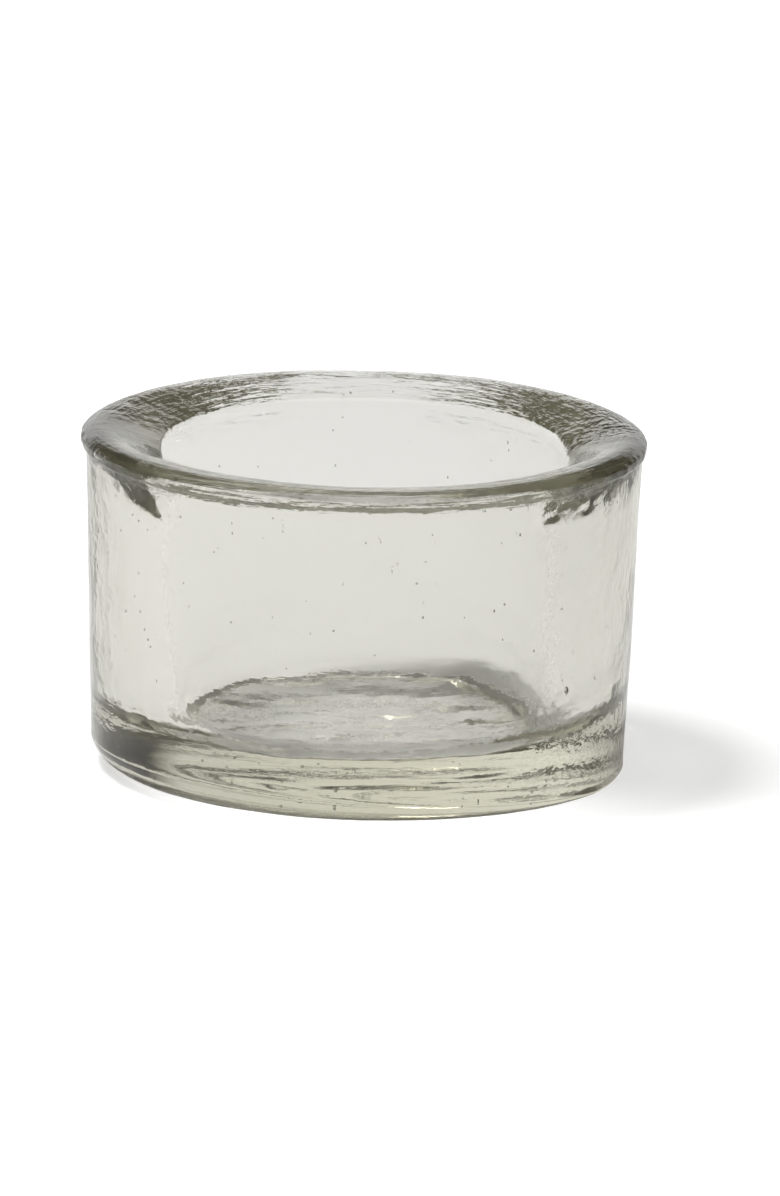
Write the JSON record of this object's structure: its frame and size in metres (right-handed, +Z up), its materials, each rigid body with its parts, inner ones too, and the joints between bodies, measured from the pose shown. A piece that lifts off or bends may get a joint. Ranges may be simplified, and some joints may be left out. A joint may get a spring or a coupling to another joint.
{
  "type": "tealight holder",
  "caption": "Low round tealight holder in thick clear pressed glass: a heavy base, a drafted wall, a broad rounded rim and a deep open well for a tealight.",
  "frame": {"origin": "centre of the flat underside, on the surface it stands on", "axes": "+Z up along the axis of the well; X and Y are any two directions across it"},
  "size_m": [0.08, 0.08, 0.0484],
  "materials": {
    "clear_glass": "clear with a faint olive tint, fire-polished, slightly rippled, with small seed bubbles"
  },
  "bodies": {
    "root": {"glass_body": "clear_glass"}
  },
  "joints": []
}
